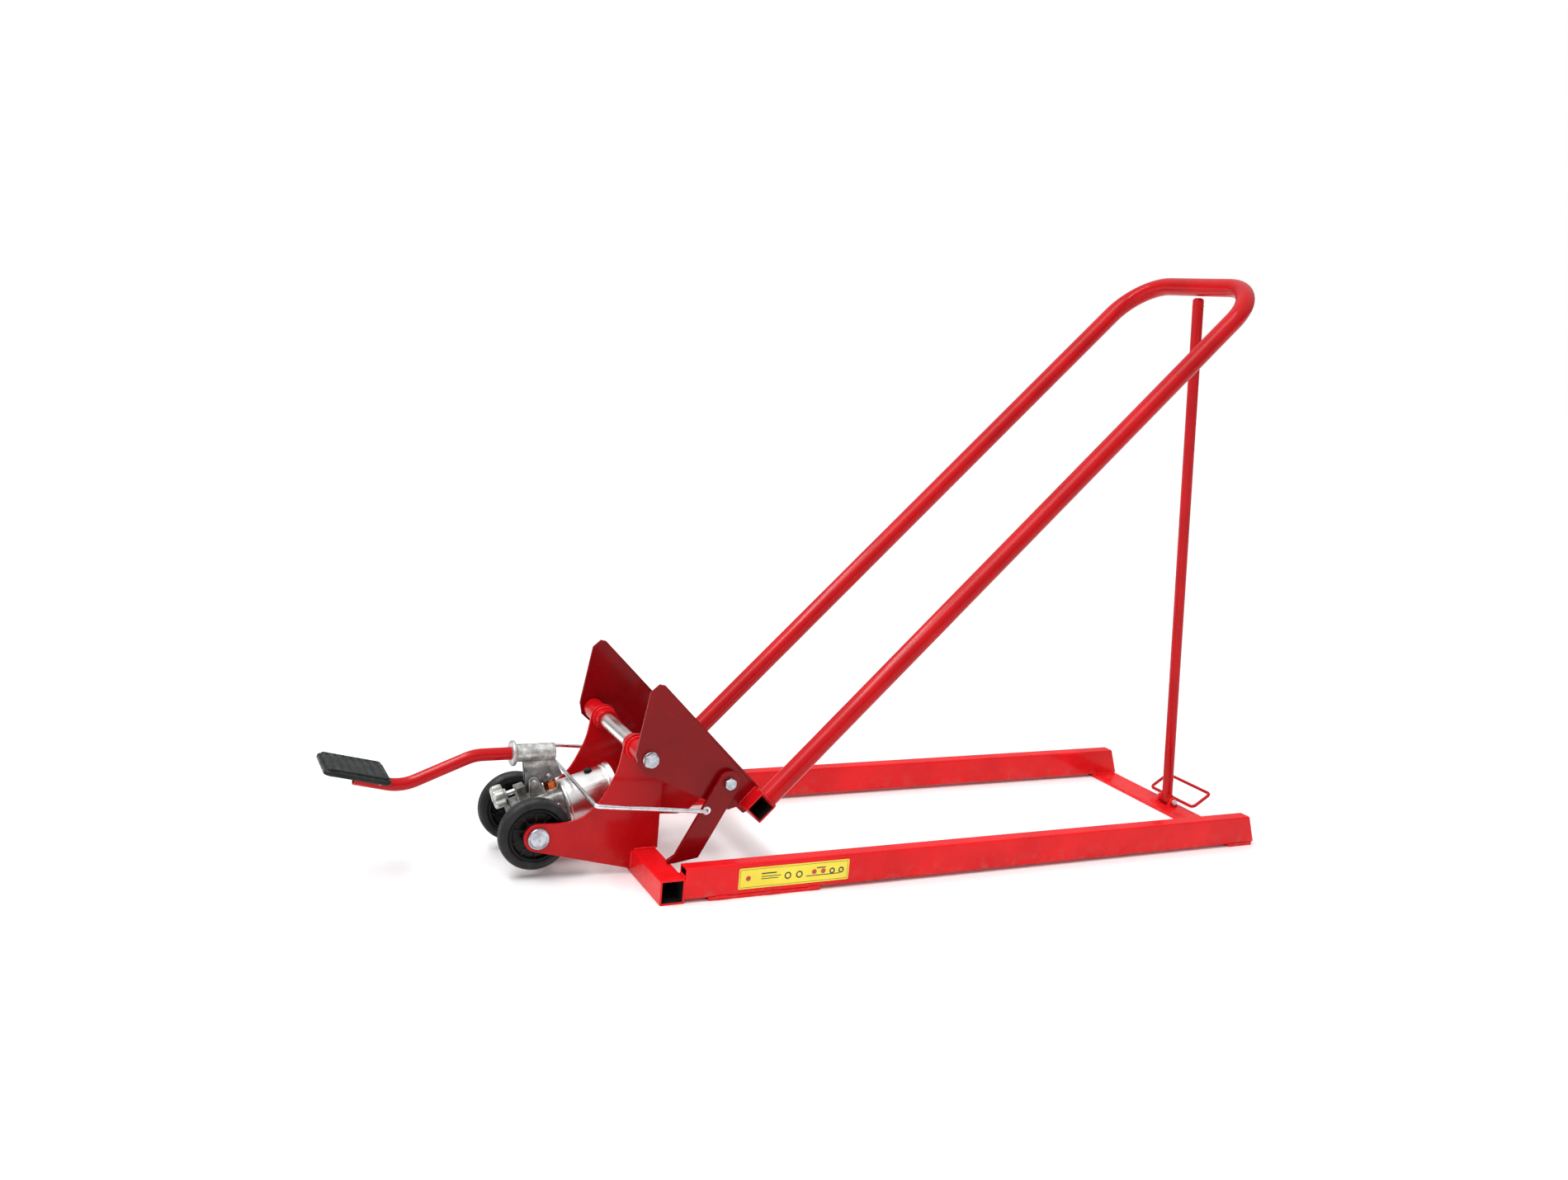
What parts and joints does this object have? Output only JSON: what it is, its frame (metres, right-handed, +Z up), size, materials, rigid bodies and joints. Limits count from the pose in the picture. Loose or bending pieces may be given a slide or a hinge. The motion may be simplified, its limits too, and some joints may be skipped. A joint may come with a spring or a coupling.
{
  "type": "ride-on mower lift",
  "caption": "Foot-pumped hydraulic lift for a ride-on mower: rail base, tilting tube arm, bottle jack, folding prop rod, safety legs and transport wheels.",
  "frame": {"origin": "on the floor, under the middle of the front cross tube", "axes": "+X to the rear along the rails, +Y across to the far side, +Z up"},
  "size_m": [1.6741, 0.4304, 1.023],
  "materials": {
    "red_paint": "gloss",
    "zinc_plate": "satin",
    "tyre_rubber": "matt",
    "black_plastic": "satin",
    "bush_steel": "satin",
    "sticker": "gloss",
    "jack_silver": "satin",
    "cast_body": "rough",
    "ram_chrome": "gloss",
    "copper_gland": "satin",
    "knob_cast": "satin",
    "pad_rubber": "matt"
  },
  "bodies": {
    "base": {"front_cross_tube": "red_paint", "side_rail_near": "red_paint", "side_rail_far": "red_paint", "rear_cross_bar": "red_paint", "foot_plates": "red_paint", "cheek_near": "red_paint", "cheek_far": "red_paint", "pivot_collars": "red_paint", "pivot_spacer_tube": "zinc_plate", "pivot_bosses": "red_paint", "pivot_bolt": "zinc_plate", "pivot_washers": "zinc_plate", "pivot_nut": "zinc_plate", "wheel_axle": "zinc_plate", "axle_cap": "zinc_plate", "axle_washers": "zinc_plate", "axle_spacers": "zinc_plate", "prop_bracket": "red_paint", "prop_hinge_pin": "zinc_plate", "rail_sticker": "sticker"},
    "wheel_near_body": {"tyre_near": "tyre_rubber", "wheel_hub_near": "black_plastic", "wheel_bush_near": "bush_steel"},
    "wheel_far_body": {"tyre_far": "tyre_rubber", "wheel_hub_far": "black_plastic", "wheel_bush_far": "bush_steel"},
    "lift_arm": {"arm_plate_near": "red_paint", "arm_plate_far": "red_paint", "arm_cross_tube": "red_paint", "lift_tube": "red_paint", "ram_lugs": "red_paint", "ram_cross_pin": "zinc_plate", "leg_pins": "zinc_plate", "leg_washers": "zinc_plate"},
    "safety_latch": {"safety_leg_near": "red_paint", "safety_leg_far": "red_paint", "bail_wire": "zinc_plate"},
    "prop": {"prop_knuckle": "red_paint", "prop_rod": "red_paint", "prop_tip": "red_paint", "kick_loop": "red_paint"},
    "jack": {"jack_base": "cast_body", "jack_reservoir": "jack_silver", "jack_top_cap": "jack_silver", "jack_gland_nut": "jack_silver", "filler_plug": "black_plastic", "pump_gland_nut": "copper_gland", "pump_ring": "zinc_plate", "socket_pivot_pin": "zinc_plate"},
    "ram": {"jack_ram": "ram_chrome", "ram_saddle": "ram_chrome"},
    "plunger": {"pump_plunger": "ram_chrome"},
    "valve": {"valve_stem": "zinc_plate", "release_knob": "knob_cast"},
    "pedal": {"handle_socket": "cast_body", "plunger_pin": "zinc_plate", "pedal_tube": "red_paint", "pedal_plate": "red_paint", "pedal_pad": "pad_rubber", "pedal_nuts": "zinc_plate"}
  },
  "joints": [
    {"name": "arm_lift", "type": "hinge", "parent": "base", "child": "lift_arm", "pos_m": [-0.024, 0, 0.208], "axis": [0, -1, 0], "range_deg": [-45, 0]},
    {"name": "latch_swing", "type": "hinge", "parent": "lift_arm", "child": "safety_latch", "pos_m": [0.106, 0, 0.166], "axis": [0, -1, 0], "range_deg": [-24.75, 0]},
    {"name": "prop_fold", "type": "hinge", "parent": "base", "child": "prop", "pos_m": [1.136, 0, 0.016], "axis": [0, -1, 0], "range_deg": [0, 81]},
    {"name": "jack_swing", "type": "hinge", "parent": "base", "child": "jack", "pos_m": [-0.174, 0, 0.071], "axis": [0, -1, 0], "range_deg": [-9.45, 0]},
    {"name": "ram_slide", "type": "slide", "parent": "jack", "child": "ram", "axis": [0.9564, 0, 0.2922], "range_m": [-0.08325, 0]},
    {"name": "pedal_pump", "type": "hinge", "parent": "jack", "child": "pedal", "pos_m": [-0.16475, 0, 0.13656], "axis": [0, -1, 0], "range_deg": [0, 22], "stiffness_Nm_per_rad": 5, "springref_deg": -34.38},
    {"name": "plunger_slide", "type": "slide", "parent": "jack", "child": "plunger", "axis": [-0.2922, 0, 0.9564], "range_m": [0, 0.01]},
    {"name": "valve_turn", "type": "hinge", "parent": "jack", "child": "valve", "pos_m": [-0.21759, 0, 0.11101], "axis": [0.9564, 0, 0.2922], "range_deg": [0, 270]},
    {"name": "wheel_near_spin", "type": "hinge", "parent": "base", "child": "wheel_near_body", "pos_m": [-0.174, -0.064, 0.071], "axis": [0, 1, 0], "continuous": true},
    {"name": "wheel_far_spin", "type": "hinge", "parent": "base", "child": "wheel_far_body", "pos_m": [-0.174, 0.064, 0.071], "axis": [0, 1, 0], "continuous": true}
  ],
  "couplings": [
    {"joint": "latch_swing", "follows": "arm_lift", "ratio": 0.55},
    {"joint": "prop_fold", "follows": "arm_lift", "ratio": -1.8},
    {"joint": "jack_swing", "follows": "arm_lift", "ratio": 0.21},
    {"joint": "ram_slide", "follows": "arm_lift", "m_per_rad": 0.106},
    {"joint": "plunger_slide", "follows": "pedal_pump", "m_per_rad": 0.026}
  ]
}
